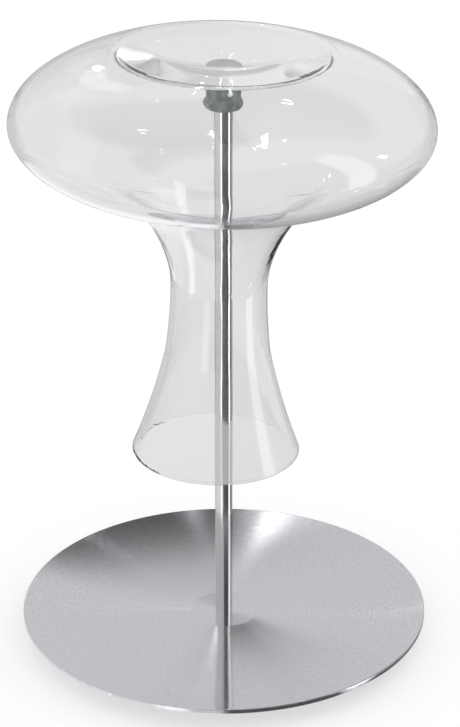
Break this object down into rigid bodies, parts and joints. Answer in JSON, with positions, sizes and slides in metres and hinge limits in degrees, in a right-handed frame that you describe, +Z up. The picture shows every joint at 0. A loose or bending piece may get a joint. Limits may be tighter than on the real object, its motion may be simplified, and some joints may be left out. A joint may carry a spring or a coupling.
{
  "type": "decanter drying stand",
  "caption": "Round steel dish with a slim central post and rubber tip, holding a wide glass decanter upside down so that it drains and dries.",
  "frame": {"origin": "on the table at the centre of the feet, on the axis of the post", "axes": "+Z up along the post, the user on the -Y side, +X to the user's right; the decanter's mouth leans towards -X"},
  "size_m": [0.225, 0.225, 0.3356],
  "materials": {
    "dish_steel": "circular brushed",
    "post_steel": "polished",
    "fastener_steel": "plain bright",
    "plug_aluminium": "turned",
    "tip_rubber": "matt grey-green",
    "foot_rubber": "matt black",
    "decanter_glass": "clear, fire polished"
  },
  "bodies": {
    "stand": {"base_dish": "dish_steel", "post_tube": "post_steel", "post_foot_plug": "plug_aluminium", "post_head_plug": "plug_aluminium", "flat_washer": "fastener_steel", "spring_washer": "fastener_steel", "base_screw": "fastener_steel", "foot_front_right": "foot_rubber", "foot_back_right": "foot_rubber", "foot_back_left": "foot_rubber", "foot_front_left": "foot_rubber"},
    "tip": {"rubber_tip": "tip_rubber", "tip_pin": "fastener_steel"},
    "decanter": {"decanter": "decanter_glass"}
  },
  "joints": [
    {"name": "tip_spin", "type": "hinge", "parent": "stand", "child": "tip", "pos_m": [0, 0, 0.3066], "axis": [0, 0, 1], "continuous": true},
    {"name": "decanter_lift", "type": "slide", "parent": "tip", "child": "decanter", "axis": [0, 0, 1], "range_m": [0, 0.22]}
  ]
}
